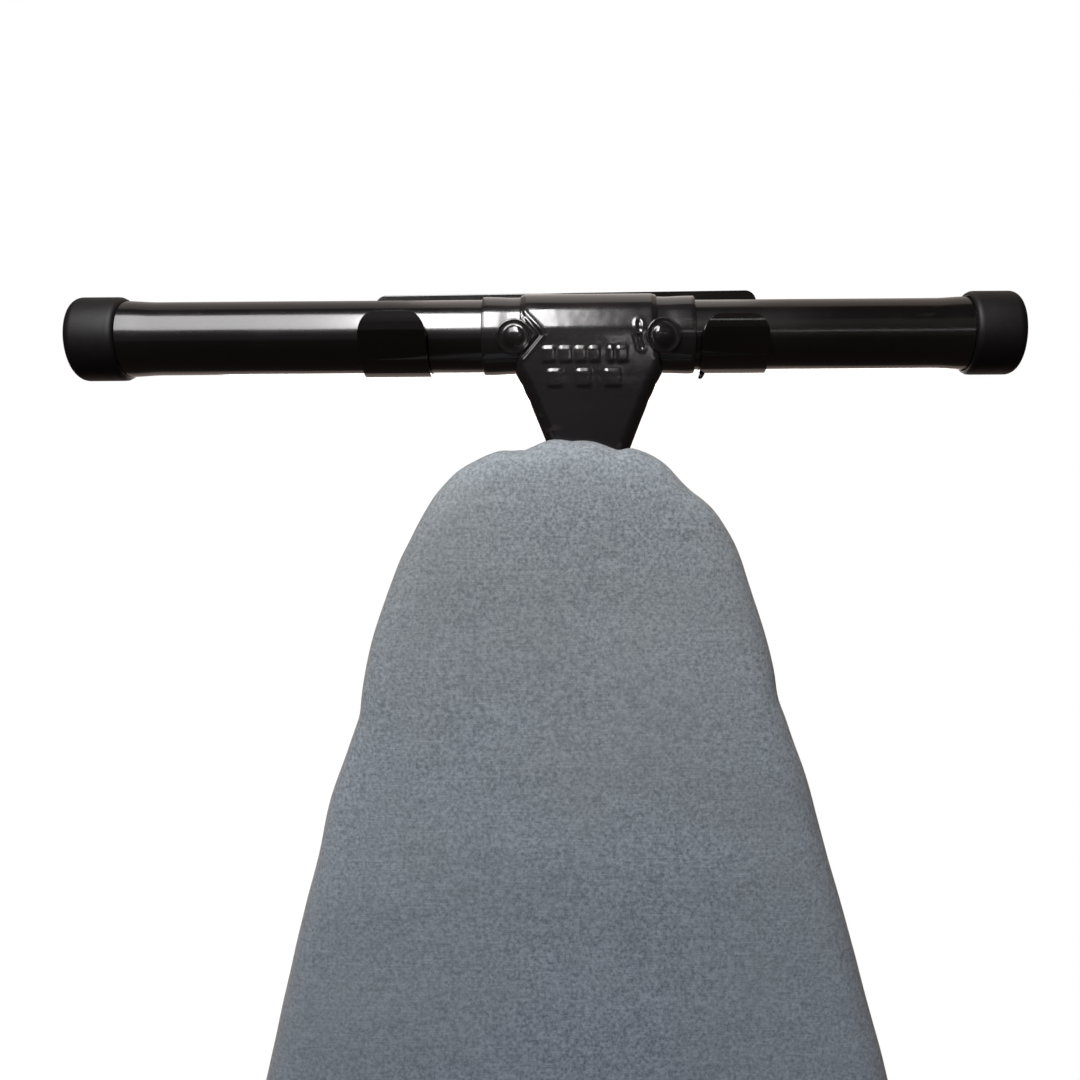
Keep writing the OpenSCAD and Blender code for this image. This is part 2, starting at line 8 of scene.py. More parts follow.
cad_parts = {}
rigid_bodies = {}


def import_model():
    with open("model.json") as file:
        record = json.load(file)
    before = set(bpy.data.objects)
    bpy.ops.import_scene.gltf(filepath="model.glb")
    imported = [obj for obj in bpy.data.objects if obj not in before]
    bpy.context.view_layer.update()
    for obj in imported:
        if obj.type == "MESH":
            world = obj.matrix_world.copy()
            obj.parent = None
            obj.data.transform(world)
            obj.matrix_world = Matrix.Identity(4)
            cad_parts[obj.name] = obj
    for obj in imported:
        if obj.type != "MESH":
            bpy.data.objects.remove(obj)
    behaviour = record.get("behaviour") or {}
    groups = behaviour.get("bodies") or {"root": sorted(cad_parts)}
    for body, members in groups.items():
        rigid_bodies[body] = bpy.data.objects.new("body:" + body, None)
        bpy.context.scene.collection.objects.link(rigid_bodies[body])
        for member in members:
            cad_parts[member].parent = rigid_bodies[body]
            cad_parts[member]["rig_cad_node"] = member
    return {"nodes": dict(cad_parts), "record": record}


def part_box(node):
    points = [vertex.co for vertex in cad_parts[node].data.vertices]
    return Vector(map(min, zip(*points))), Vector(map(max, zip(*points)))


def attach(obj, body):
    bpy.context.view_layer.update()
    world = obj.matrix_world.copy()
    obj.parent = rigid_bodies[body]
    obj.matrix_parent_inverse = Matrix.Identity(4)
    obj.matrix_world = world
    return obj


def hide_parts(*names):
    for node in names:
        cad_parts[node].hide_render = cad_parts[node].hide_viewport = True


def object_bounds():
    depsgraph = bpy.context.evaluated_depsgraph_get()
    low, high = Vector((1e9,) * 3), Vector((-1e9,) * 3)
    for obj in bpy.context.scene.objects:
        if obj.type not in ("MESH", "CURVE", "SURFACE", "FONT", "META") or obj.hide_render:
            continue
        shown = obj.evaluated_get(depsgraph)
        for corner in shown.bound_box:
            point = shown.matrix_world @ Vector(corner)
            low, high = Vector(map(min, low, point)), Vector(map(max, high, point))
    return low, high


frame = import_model()
cad_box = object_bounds()
nodes = frame["nodes"]
MM = 0.001

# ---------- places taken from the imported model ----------

cover_lo, cover_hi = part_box("cover")
panel_lo, panel_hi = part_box("top_panel")
foot_lo, foot_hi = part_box("front_foot_tube")
sleeve_lo, sleeve_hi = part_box("front_foot_sleeve")
FOOT_Y = (foot_lo.y + foot_hi.y) / 2
FOOT_Z = (foot_lo.z + foot_hi.z) / 2
FOOT_R = (foot_hi.y - foot_lo.y) / 2
BOARD_X = (cover_lo.x + cover_hi.x) / 2
BOARD_W = cover_hi.x - cover_lo.x
NOSE_Z, TAIL_Z = cover_hi.z, cover_lo.z

# The board's outline, as in the CAD model
NOSE_R = 0.074
TAPER = math.radians(15.2)
TAIL_R = 0.055
BLEND_R = 0.6
QUARTER = 1.57       # a quarter turn in radians, rounded
NOSE_TURN = 1.3      # the nose's arc in radians, rounded


# ---------- mesh helpers ----------

def mesh_object(name, verts, faces, smooth=True):
    mesh = bpy.data.meshes.new(name)
    mesh.from_pydata([tuple(v) for v in verts], [], faces)
    mesh.validate()
    mesh.polygons.foreach_set("use_smooth", [smooth] * len(mesh.polygons))
    obj = bpy.data.objects.new(name, mesh)
    bpy.context.scene.collection.objects.link(obj)
    return obj


def grid_faces(rows, cols, wrap=False, flip=False):
    """Quads over rows of cols vertices each; wrap joins the last column to the first."""
    faces = []
    for r in range(rows - 1):
        for c in range(cols if wrap else cols - 1):
            a, b = r * cols + c, r * cols + (c + 1) % cols
            quad = (a, b, b + cols, a + cols)
            faces.append(quad[::-1] if flip else quad)
    return faces


def lathe(name, profile, centre, direction, steps=96):
    """Turns (radius, distance along X) points about the X axis through centre; direction is 1 or -1."""
    verts = []
    for radius, along in profile:
        for k in range(steps):
            a = 2 * math.pi * k / steps
            verts.append(centre + Vector((direction * along, radius * math.cos(a), radius * math.sin(a))))
    return mesh_object(name, verts, grid_faces(len(profile), steps, wrap=True, flip=direction < 0))


def add_modifier(obj, kind, **settings):
    mod = obj.modifiers.new(kind.title(), kind)
    for key, value in settings.items():
        setattr(mod, key, value)
    return mod


def apply_modifiers(obj):
    """Replaces the object's mesh with what its modifiers make of it."""
    evaluated = obj.evaluated_get(bpy.context.evaluated_depsgraph_get())
    mesh = bpy.data.meshes.new_from_object(evaluated)
    obj.modifiers.clear()
    obj.data = mesh


def circle(cx, cz, radius, steps):
    """Points round a circle, as pairs."""
    turn = [k * math.pi / (steps / 2) for k in range(steps)]
    return [(cx + radius * math.cos(a), cz + radius * math.sin(a)) for a in turn]


def cut_sheet(name, loops, half_t, **settings):
    """Mesh of a flat sheet, half_t thick to each side. The first loop is its edge, the others are holes."""
    curve = bpy.data.curves.new(name, "CURVE")
    curve.dimensions = "2D"
    curve.fill_mode = "BOTH"
    curve.extrude = half_t
    for key, value in settings.items():
        setattr(curve, key, value)
    for points in loops:
        line = curve.splines.new("POLY")
        line.points.add(len(points) - 1)
        line.use_cyclic_u = True
        for point, (x, z) in zip(line.points, points):
            point.co = (x, z, 0, 1)
    source = bpy.data.objects.new(name, curve)
    bpy.context.scene.collection.objects.link(source)
    flat = bpy.data.meshes.new_from_object(source.evaluated_get(bpy.context.evaluated_depsgraph_get()))
    bpy.data.objects.remove(source)
    return flat


def smoothstep(a, b, x):
    """0 at a and 1 at b, eased; a may be above b."""
    t = min(max((x - a) / (b - a), 0.0), 1.0)
    return t * t * (3 - 2 * t)


# ---------- materials ----------

class Nodes:
    """Short names for building a node tree."""

    def __init__(self, name):
        self.material = bpy.data.materials.new(name)
        self.material.use_nodes = True
        self.tree = self.material.node_tree
        self.shader = self.tree.nodes["Principled BSDF"]
        self.coords = self.tree.nodes.new("ShaderNodeTexCoord").outputs["Object"]

    def link(self, a, b):
        self.tree.links.new(a, b)

    def set(self, **values):
        for key, value in values.items():
            self.shader.inputs[key.replace("_", " ")].default_value = value

    def stretched(self, scale):
        node = self.tree.nodes.new("ShaderNodeMapping")
        node.inputs["Scale"].default_value = scale
        self.link(self.coords, node.inputs["Vector"])
        return node.outputs["Vector"]

    def noise(self, scale, detail=3.0, rough=0.5, stretch=(1, 1, 1)):
        node = self.tree.nodes.new("ShaderNodeTexNoise")
        node.inputs["Scale"].default_value = scale
        node.inputs["Detail"].default_value = detail
        node.inputs["Roughness"].default_value = rough
        self.link(self.stretched(stretch), node.inputs["Vector"])
        return node.outputs["Fac"]

    def wave(self, scale, direction, distortion=0.0, stretch=(1, 1, 1)):
        node = self.tree.nodes.new("ShaderNodeTexWave")
        node.bands_direction = direction
        node.inputs["Scale"].default_value = scale
        node.inputs["Distortion"].default_value = distortion
        node.inputs["Detail"].default_value = 1.0
        self.link(self.stretched(stretch), node.inputs["Vector"])
        return node.outputs["Fac"]

    def ramp(self, fac, low, high):
        """Maps fac from 0..1 to the range between two colours or two numbers."""
        if isinstance(low, (int, float)):
            node = self.tree.nodes.new("ShaderNodeMapRange")
            node.inputs["To Min"].default_value = low
            node.inputs["To Max"].default_value = high
            self.link(fac, node.inputs["Value"])
            return node.outputs["Result"]
        node = self.tree.nodes.new("ShaderNodeMix")
        node.data_type = "RGBA"
        node.inputs["A"].default_value = (*low, 1)
        node.inputs["B"].default_value = (*high, 1)
        self.link(fac, node.inputs["Factor"])
        return node.outputs["Result"]

    def sharpen(self, fac, start, end):
        """Maps start..end to 0..1."""
        node = self.tree.nodes.new("ShaderNodeMapRange")
        node.inputs["From Min"].default_value = start
        node.inputs["From Max"].default_value = end
        self.link(fac, node.inputs["Value"])
        return node.outputs["Result"]

    def math(self, operation, a, b):
        node = self.tree.nodes.new("ShaderNodeMath")
        node.operation = operation
        for socket, value in zip(node.inputs, (a, b)):
            if isinstance(value, (int, float)):
                socket.default_value = value
            else:
                self.link(value, socket)
        return node.outputs["Value"]

    def mix(self, fac, a, b, blend="MIX"):
        node = self.tree.nodes.new("ShaderNodeMix")
        node.data_type = "RGBA"
        node.blend_type = blend
        for socket, value in (("Factor", fac), ("A", a), ("B", b)):
            if isinstance(value, (int, float)):
                node.inputs[socket].default_value = value
            elif isinstance(value, tuple):
                node.inputs[socket].default_value = (*value, 1)
            else:
                self.link(value, node.inputs[socket])
        return node.outputs["Result"]

    def bump(self, height, strength, distance):
        node = self.tree.nodes.new("ShaderNodeBump")
        node.inputs["Strength"].default_value = strength
        node.inputs["Distance"].default_value = distance
        self.link(height, node.inputs["Height"])
        self.link(node.outputs["Normal"], self.shader.inputs["Normal"])


def enamel(name, depth, roughness, ripple):
    """Gloss black paint: faint orange peel, dust in the haze of the gloss and a few fine rubs."""
    m = Nodes(name)
    rubs = m.sharpen(m.noise(90, 5, 0.7, (0.25, 1, 1)), 0.62, 0.72)
    dust = m.sharpen(m.noise(14, 4, 0.6), 0.45, 0.8)
    clean, dusty, rubbed = [tuple(depth * c for c in tone)
                            for tone in ((1.0, 0.9, 1.05), (2.0, 1.7, 1.7), (4.4, 4.1, 3.9))]
    colour = m.mix(dust, clean, dusty)
    m.link(m.mix(rubs, colour, rubbed), m.shader.inputs["Base Color"])
    haze = m.ramp(dust, roughness, roughness + 0.10)
    m.link(m.math("ADD", haze, m.math("MULTIPLY", rubs, 0.06)), m.shader.inputs["Roughness"])
    m.bump(m.noise(420, 2, 0.5), 0.12, ripple)
    m.set(Specular_IOR_Level=0.5, Coat_Weight=0.2, Coat_Roughness=0.05)
    return m.material


def moulded_plastic(name, colour, roughness, gloss=0.42):
    """Matt moulding with a fine spark-eroded grain and rubbed high spots."""
    m = Nodes(name)
    rubbed = m.sharpen(m.noise(60, 4, 0.65), 0.55, 0.8)
    worn = tuple(min(1.0, c * 1.9) for c in colour)
    m.link(m.mix(rubbed, colour, worn), m.shader.inputs["Base Color"])
    m.link(m.ramp(m.noise(200, 2, 0.5), roughness - 0.06, roughness + 0.08), m.shader.inputs["Roughness"])
    m.bump(m.noise(1500, 3, 0.6), 0.25, 0.00012)
    m.set(Specular_IOR_Level=gloss)
    return m.material


def zinc(name, colour, roughness):
    """Zinc plate: cloudy patches, drawn lines and a metal sheen."""
    m = Nodes(name)
    cloud = m.noise(45, 4, 0.6)
    dark = tuple(c * 0.72 for c in colour)
    m.link(m.mix(cloud, dark, colour), m.shader.inputs["Base Color"])
    m.link(m.ramp(m.noise(30, 3, 0.6), roughness - 0.08, roughness + 0.12), m.shader.inputs["Roughness"])
    m.bump(m.noise(900, 2, 0.6, (1, 1, 0.15)), 0.15, 0.00008)
    m.set(Metallic=1.0)
    return m.material


def satin_paint(name, colour):
    """Half-gloss paint, a little uneven in colour and gloss."""
    m = Nodes(name)
    fade = m.noise(9, 4, 0.6)
    m.link(m.mix(fade, tuple(c * 0.88 for c in colour), colour), m.shader.inputs["Base Color"])
    m.link(m.ramp(m.noise(120, 3, 0.6), 0.34, 0.5), m.shader.inputs["Roughness"])
    m.bump(m.noise(700, 2, 0.5), 0.15, 0.0001)
    return m.material


def felt(name):
    """Tufted needle felt."""
    m = Nodes(name)
    tufts = m.noise(350, 6, 0.75)
    m.link(m.mix(tufts, (0.52, 0.49, 0.41), (0.80, 0.77, 0.69)), m.shader.inputs["Base Color"])
    m.bump(tufts, 0.8, 0.0008)
    m.set(Roughness=0.95, Sheen_Weight=0.3)
    return m.material


def cloth(name):
    """Plain-weave cotton: warp and weft threads, slubs along the weft, flecks and broad mottling, with
    painted light that is lighter and warmer towards the nose and darker and bluer lower down, and bands of
    painted crease shade.
    """
    m = Nodes(name)
    bands = 806.4516     # threads 0.39 mm apart
    weft = m.wave(bands, "Z", 1.2)
    warp = m.wave(bands, "X", 1.2)
    slub = m.sharpen(m.noise(1, 3, 0.6, (70, 70, 1150)), 0.46, 0.72)
    streak = m.sharpen(m.noise(1, 3, 0.6, (900, 900, 60)), 0.44, 0.74)
    fleck = m.noise(740, 3, 0.74)
    broad = m.noise(11, 4, 0.6)
    base = m.mix(m.sharpen(fleck, 0.345, 0.655), (0.077, 0.092, 0.109), (0.206, 0.236, 0.263))
    base = m.mix(m.math("MULTIPLY", slub, 0.22), base, (0.225, 0.250, 0.275))
    base = m.mix(m.math("MULTIPLY", streak, 0.16), base, (0.095, 0.111, 0.130))
    base = m.mix(m.math("MULTIPLY", m.sharpen(broad, 0.35, 0.7), 0.40), base, (0.143, 0.159, 0.162))

    # Painted light: the cover is lighter and warmer towards the nose and darker and bluer lower down; bands
    # of painted shade and light stand for shallow creases across the board
    split = m.tree.nodes.new("ShaderNodeSeparateXYZ")
    m.link(m.coords, split.inputs["Vector"])
    height = split.outputs["Z"]
    # painted light: lighter towards the nose, darker lower down
    painted_light_by_height = m.ramp(m.sharpen(height, -0.30, -0.10), 0.76, 0.88)
    painted_light_by_height = m.math("MULTIPLY", painted_light_by_height, m.ramp(m.sharpen(height, -0.105, -0.070), 1.0, 1.19))
    # painted shade and light in broad horizontal bands, standing for the shadows of shallow creases
    painted_crease_shade = m.sharpen(m.noise(1, 3, 0.5, (8, 8, 38)), 0.35, 0.65)
    painted_light_by_height = m.math("MULTIPLY", painted_light_by_height, m.ramp(painted_crease_shade, 0.94, 1.04))
    base = m.mix(1.0, base, painted_light_by_height, "MULTIPLY")
    # painted light colour: warmer at the nose, bluer lower down
    painted_light_tint = m.ramp(m.sharpen(height, -0.32, -0.10), (1.0, 1.03, 1.10), (1.02, 1.0, 0.965))
    base = m.mix(1.0, base, painted_light_tint, "MULTIPLY")
    m.link(base, m.shader.inputs["Base Color"])

    threads = m.math("MULTIPLY", weft, warp)
    raised = m.math("ADD", threads, m.math("MULTIPLY", fleck, 0.8))
    m.bump(m.math("ADD", raised, m.math("MULTIPLY", slub, 0.5)), 0.55, 0.00022)
    m.set(Roughness=0.88, Specular_IOR_Level=0.2, Sheen_Weight=0.18, Sheen_Roughness=0.4,
          Sheen_Tint=(1.0, 0.80, 0.62, 1))
    return m.material


materials = {
    "hanger_black": enamel("hanger_enamel", 0.0008, 0.09, 0.00002),
    "tube_black": enamel("tube_enamel", 0.0010, 0.18, 0.00003),
    "tee_black": enamel("tee_enamel", 0.0042, 0.14, 0.00003),
    "cap_plastic": moulded_plastic("cap_moulding", (0.0018, 0.0014, 0.0017), 0.5, 0.18),
    "panel_paint": satin_paint("panel_enamel", (0.60, 0.61, 0.60)),
    "pad_felt": felt("felt"),
    "cover_cloth": cloth("cover_weave"),
    "zinc_sheet": zinc("zinc_sheet", (0.55, 0.56, 0.58), 0.42),
    "zinc_bright": zinc("zinc_bright", (0.62, 0.62, 0.64), 0.3),
    "nylon": moulded_plastic("nylon", (0.74, 0.73, 0.68), 0.42),
}


def finish_with(obj, slot):
    """Gives a piece its slot's material."""
    obj.data.materials.clear()
    obj.data.materials.append(materials[slot])


# CAD nodes keep their solids: their edges are eased and each gets its slot's material
slot_of = {part["node"]: part["material_slot"] for part in frame["record"]["subparts"]}
EDGE_MM, GRIP_EDGE_MM = 0.3, 2.2
for name, obj in nodes.items():
    finish_with(obj, slot_of[name])
    obj.data.polygons.foreach_set("use_smooth", [True] * len(obj.data.polygons))
    add_modifier(obj, "WELD", merge_threshold=0.00001)
    width = (GRIP_EDGE_MM if name == "lever_grip" else EDGE_MM) * MM
    add_modifier(obj, "BEVEL", width=width, segments=2, limit_method="ANGLE",
                 angle_limit=math.radians(35), harden_normals=True)


# ---------- the board's outline ----------

def arc(cx, cz, radius, start, end, steps):
    """Points and outward normals along an arc, angles in radians from +X."""
    out = []
    for i in range(steps):
        a = start + (end - start) * i / steps
        out.append((Vector((cx + radius * math.cos(a), cz + radius * math.sin(a))),
                    Vector((math.cos(a), math.sin(a)))))
    return out


def half_outline(step):
    """Right half of the outline about x = 0, nose to tail, as (point, outward normal) pairs.

    Points lie about a step apart, and closer round the nose.
    """
    nose_c = NOSE_Z - NOSE_R
    half_w = BOARD_W / 2
    blend_x = half_w - BLEND_R
    blend_c = nose_c + (NOSE_R - BLEND_R - blend_x * math.cos(TAPER)) / math.sin(TAPER)
    out = arc(0, nose_c, NOSE_R, math.pi / 2, TAPER, round(NOSE_R * NOSE_TURN / (step * 0.4)))
    n = Vector((math.cos(TAPER), math.sin(TAPER)))
    a = Vector((0, nose_c)) + n * NOSE_R
    b = Vector((blend_x, blend_c)) + n * BLEND_R
    count = round((b - a).length / step)
    out += [(a.lerp(b, i / count), n) for i in range(count)]
    out += arc(blend_x, blend_c, BLEND_R, TAPER, 0, round(BLEND_R * TAPER / step))
    n = Vector((1, 0))
    a, b = Vector((half_w, blend_c)), Vector((half_w, TAIL_Z + TAIL_R))
    count = round((b - a).length / step)
    out += [(a.lerp(b, i / count), n) for i in range(count)]
    out += arc(half_w - TAIL_R, TAIL_Z + TAIL_R, TAIL_R, 0, -math.pi / 2, round(TAIL_R * QUARTER / step))
    a, b = Vector((half_w - TAIL_R, TAIL_Z)), Vector((0, TAIL_Z))
    count = round((b - a).length / step)
    out += [(a.lerp(b, i / count), Vector((0, -1))) for i in range(count + 1)]
    return out


def outline(step):
    """The whole closed outline, clockwise from the nose as seen from the front."""
    right = half_outline(step)
    left = [(Vector((-p.x, p.y)), Vector((-n.x, n.y))) for p, n in reversed(right[1:-1])]
    return right + left


def shell_rings(border, profile, spine_steps):
    """Rings of vertices over a board-shaped shell.

    profile gives (inset, y) pairs from the hem's inner edge to the face; then spine_steps rings
    close over the face onto the board's centre line.
    """
    rings = []
    for inset, y in profile:
        rings.append([Vector((BOARD_X + p.x - n.x * inset, y, p.y - n.y * inset)) for p, n in border])
    top, bottom = NOSE_Z - NOSE_R * 0.98, TAIL_Z + TAIL_R * 2
    last = rings[-1]
    for k in range(1, spine_steps + 1):
        t = k / spine_steps
        rings.append([v.lerp(Vector((BOARD_X, v.y, min(max(v.z, bottom), top))), t) for v in last])
    return rings


# ---------- cover ----------

FACE_Y = cover_lo.y
HEM_Y = cover_hi.y
CROWN_REACH = 0.038     # the face falls back within this distance of its edge
EDGE_REACH = 0.045      # and follows the edge's sags and dents within this one
PUCKER_PITCH = 0.0135   # from one gather of the hem to the next


def crown_drop(inset, depth):
    """How far the face falls back near its edge; depth is the distance below the nose."""
    t = max(0.0, 1 - inset / CROWN_REACH)
    return (0.0010 + 0.0010 * (1 - smoothstep(0.02, 0.10, depth))) * t * t


# Where the cover stands off the rim or dips in: (side, distance below the nose, half length, height)
BULGES = [(-1, 0.017, 0.017, 0.0032), (-1, 0.083, 0.032, 0.0044), (-1, 0.146, 0.022, 0.0036),
          (-1, 0.198, 0.034, 0.0028), (1, 0.008, 0.008, 0.0012), (1, 0.082, 0.020, 0.0012),
          (1, 0.139, 0.013, 0.0014), (1, 0.190, 0.038, 0.0014),
          (-1, 0.113, 0.005, -0.0010), (1, 0.106, 0.006, -0.0012), (1, 0.018, 0.006, -0.0018)]
TONGUE = 0.0205      # half width of the strip drawn tight over the nose
NOSE_ONLY = 0.02     # the strip and the notches beside it end at this distance below the nose
NOTCHES = [(-1, 0.0235, 0.003, 0.0018), (1, 0.0222, 0.0015, 0.0007)]     # (side, place, half width, depth)


def slack(x, depth):
    """Outward offset of the cover's edge."""
    far = abs(x)
    out = sum(height * math.exp(-((depth - place) / half) ** 2)
              for side, place, half, height in BULGES if side * x > 0) * smoothstep(0, 0.012, far)
    if depth < NOSE_ONLY:
        drawn = 1 - smoothstep(TONGUE, TONGUE + 0.002, far)
        out -= drawn * (0.0001 + 0.0024 * smoothstep(0.006, TONGUE, far))
        out -= sum(deep * math.exp(-((far - place) / half) ** 2)
                   for side, place, half, deep in NOTCHES if (side < 0) == (x < 0))
    return out


def cover_profile():
    """(inset, y) from the hem's inner edge, round the rim and over the face's soft edge."""
    hem = [(0.026, HEM_Y - 0.0022), (0.0255, HEM_Y - 0.0008), (0.024, HEM_Y - 0.0004),
           (0.018, HEM_Y - 0.0004), (0.011, HEM_Y - 0.0004), (0.006, HEM_Y - 0.0005)]
    lower = [(0.006 - 0.0048 * math.sin(a), HEM_Y - 0.0005 - 0.0046 * (1 - math.cos(a)))
             for a in (0.6, 1.1, QUARTER)]
    side_inset = 0.0006
    side = [(0.0012, HEM_Y - 0.0085), (0.0007, HEM_Y - 0.0115), (side_inset, HEM_Y - 0.0140)]
    edge_r = 0.0098
    start_y = FACE_Y + edge_r
    edge = [(side_inset + edge_r * 1.25 * (1 - math.cos(a)), start_y - edge_r * 0.93 * math.sin(a))
            for a in [0.0, 0.25, 0.5, 0.75, 1.0, 1.2, 1.4, QUARTER]]
    face = [(0.019, FACE_Y + 0.00035), (0.026, FACE_Y + 0.00015), (0.036, FACE_Y + 0.00005), (0.048, FACE_Y)]
    return hem + lower + side + edge + face


def build_cover():
    """Sewn cover with a gathered hem: puckers under the rim, a wandering edge and a softly crowned face."""
    border = outline(0.005)
    profile = cover_profile()
    rings = shell_rings(border, profile, 10)
    cols = len(border)
    count = len(profile)
    walk = 0.0
    lengths = []
    for i in range(cols):
        lengths.append(walk)
        walk += (border[(i + 1) % cols][0] - border[i][0]).length
    verts = []
    for r, ring in enumerate(rings):
        for c, v in enumerate(ring):
            p, n = border[c]
            bend = 1.0 if (p.y > NOSE_Z - NOSE_R or p.y < TAIL_Z + TAIL_R) else 0.18
            s = lengths[c]
            v = v.copy()
            if r < count:
                inset, y = profile[r]
                under = smoothstep(0.004, 0.024, inset) if y > HEM_Y - 0.004 else 0.0
                side = 1.0 if y > FACE_Y + 0.006 else 0.35
                pucker = math.sin(2 * math.pi * s / PUCKER_PITCH + 2.2 * noise.noise(Vector((s * 31, 0, 4))))
                v.y += bend * under * (0.0011 * pucker - 0.0006)
                wobble = noise.noise(Vector((s * 34, y * 60, 1.7))) * 0.0011
                wobble += noise.noise(Vector((s * 90, y * 90, 8.1))) * 0.00045 * bend
                wobble += 0.00035 * bend * pucker * (1 - smoothstep(0.0, 0.012, FACE_Y + 0.020 - y))
                wobble = max(wobble, -0.0002) * side
                v.x += n.x * wobble
                v.z += n.y * wobble
            depth = NOSE_Z - p.y
            inset = profile[min(r, count - 1)][0]
            if r < count and v.y < HEM_Y - 0.004:
                v.y += crown_drop(inset, depth) * smoothstep(FACE_Y + 0.016, FACE_Y + 0.008, v.y)
            push = slack(p.x, depth) * (1 - smoothstep(0.0, EDGE_REACH, inset))
            if r < count:
                v.x += n.x * push
                v.z += n.y * push
            if v.y < FACE_Y + 0.004:
                v.y += 0.00035 * noise.noise(Vector((v.x * 22, v.z * 22, 0.3)))
            verts.append(v)
    faces = grid_faces(len(rings), cols, wrap=True, flip=True)
    cover = mesh_object("cover_cloth", verts, faces)
    add_modifier(cover, "WELD", merge_threshold=0.0002)
    add_modifier(cover, "SOLIDIFY", thickness=0.0006, offset=-1)
    add_modifier(cover, "SUBSURF", levels=1, render_levels=1)
    apply_modifiers(cover)
    finish_with(cover, "cover_cloth")
    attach(cover, "board")
    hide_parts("cover")


# ---------- pad ----------

def build_pad():
    """Felt pad between the steel top and the cover, its edge pulled in where the cover's is."""
    border = outline(0.007)
    back, front = panel_lo.y - 0.0002, FACE_Y + 0.0014
    mid = (back + front) / 2
    inset = 0.0045
    under_cover = 0.0010     # the pad stays this far inside the cover
    profile = [(0.060, back), (0.012, back), (inset + 0.0006, back - 0.0004), (inset, mid),
               (inset + 0.0018, front + 0.0030), (inset + 0.0075, front + 0.0008), (0.024, front),
               (0.06, front)]
    rings = shell_rings(border, profile, 5)
    for (inset_here, y), ring in zip(profile, rings):
        for v, (p, n) in zip(ring, border):
            if y <= mid:
                v.y += crown_drop(inset_here, NOSE_Z - p.y) + 0.0008
            push = min(slack(p.x, NOSE_Z - p.y), 0) - under_cover
            push *= 1 - smoothstep(0.0, EDGE_REACH, inset_here)
            v.x += n.x * push
            v.z += n.y * push
    back_rings = shell_rings(border, profile[:1], 5)[1:]
    verts = [v for ring in list(reversed(back_rings)) + rings for v in ring]
    pad = mesh_object("pad_felt", verts, grid_faces(len(rings) + len(back_rings), len(border), True, True))
    add_modifier(pad, "WELD", merge_threshold=0.0002)
    add_modifier(pad, "SUBSURF", levels=1, render_levels=1)
    apply_modifiers(pad)
    finish_with(pad, "pad_felt")
    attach(pad, "board")
    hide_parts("pad")


# ---------- steel top ----------

def build_top():
    """Perforated sheet with a turned-down rim, in one piece."""
    sheet_t = 0.0012
    inset = 0.0038
    border = outline(0.010)
    edge = inset + 0.003
    loops = [[(p.x - n.x * edge, p.y - n.y * edge) for p, n in border]]
    half = half_outline(0.010)

    def half_width(z):
        for (p, _), (q, _) in zip(half, half[1:]):
            if q.y <= z <= p.y and p.y > q.y:
                return p.x + (q.x - p.x) * (p.y - z) / (p.y - q.y)
        return 0.0

    pitch, row_pitch, hole_r, margin, columns = 0.021, 0.021 * 0.78, 0.0032, 0.024, 12
    row_z = NOSE_Z - 0.034
    row = 0
    while row_z > TAIL_Z + 0.026:
        reach = half_width(row_z) - margin
        x = -pitch * columns + (pitch / 2 if row % 2 else 0)
        while x < pitch * columns:
            if abs(x) < reach:
                loops.append(circle(x, row_z, hole_r, 14))
            x += pitch
        row_z -= row_pitch
        row += 1
    flat = cut_sheet("top_sheet", loops, sheet_t / 2)
    sheet_mid = panel_lo.y + sheet_t / 2
    verts = [Vector((BOARD_X + v.co.x, sheet_mid - v.co.z, v.co.y)) for v in flat.vertices]
    faces = [tuple(reversed(f.vertices)) for f in flat.polygons]
    base = len(verts)

    # Rim: over a rounded shoulder, down the side and in again to a lip
    lip_y = panel_hi.y - 0.0005
    outer = [(edge, panel_lo.y), (edge - 0.0014, panel_lo.y + 0.0003), (inset + 0.0006, panel_lo.y + 0.0012),
             (inset, panel_lo.y + 0.003), (inset, lip_y - 0.0022), (inset + 0.0006, lip_y - 0.0006),
             (inset + 0.002, lip_y), (inset + 0.005, lip_y)]
    inner = [(inset + 0.005, lip_y - sheet_t), (inset + 0.0024, lip_y - sheet_t),
             (inset + sheet_t, lip_y - 0.0026), (inset + sheet_t, panel_lo.y + 0.0034),
             (inset + sheet_t + 0.0008, panel_lo.y + 0.0018), (edge, panel_lo.y + sheet_t)]
    section = outer + inner
    for inset_here, y in section:
        verts += [Vector((BOARD_X + p.x - n.x * inset_here, y, p.y - n.y * inset_here)) for p, n in border]
    cols = len(border)
    faces += [tuple(base + i for i in f) for f in grid_faces(len(section), cols, True)]
    bpy.data.meshes.remove(flat)
    top = mesh_object("top_panel_pressed", verts, faces)
    add_modifier(top, "WELD", merge_threshold=0.00002)
    apply_modifiers(top)
    top.data.polygons.foreach_set("use_smooth", [False] * len(top.data.polygons))
    finish_with(top, "panel_paint")
    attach(top, "board")
    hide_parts("top_panel")


# ---------- pressed tee shells ----------

SHELL_R = 0.0182      # round the sleeve, in metres
SHELL_T = 0.000837    # the pressing's sheet, in metres
NECK_R = 12.65        # round the leg tube, in mm
ROW_DOWN = 0.55       # between rows of points below the tube's centre, in mm
PRESS_DEPTH = 1.45    # how far the rim round the tube stands behind the face, in mm
HALF_GAP = 0.15       # from the rim beside the leg to the plane between the two pressings, in mm
SLEEVE_R = (sleeve_hi.y - sleeve_lo.y) / 2
# The pressing's face and half width below the tube's centre, in mm: (z, y) and (z, half width)
TEE_LINE = [(0, -18.2), (-6, -17.8), (-13, -17.3), (-20, -16.7), (-30, -15.8), (-42, -14.7),
            (-54, -13.5), (-63, -12.8), (-70, -NECK_R), (-82, -NECK_R)]
TEE_WIDTH = [(0, 29.5), (-9, 29.5), (-14, 31.0), (-17.5, 31.8), (-20, 30.7), (-23, 28.9), (-30, 25.7),
             (-43, 20.7), (-55, 16.3), (-63, 13.6), (-69, NECK_R), (-82, NECK_R)]
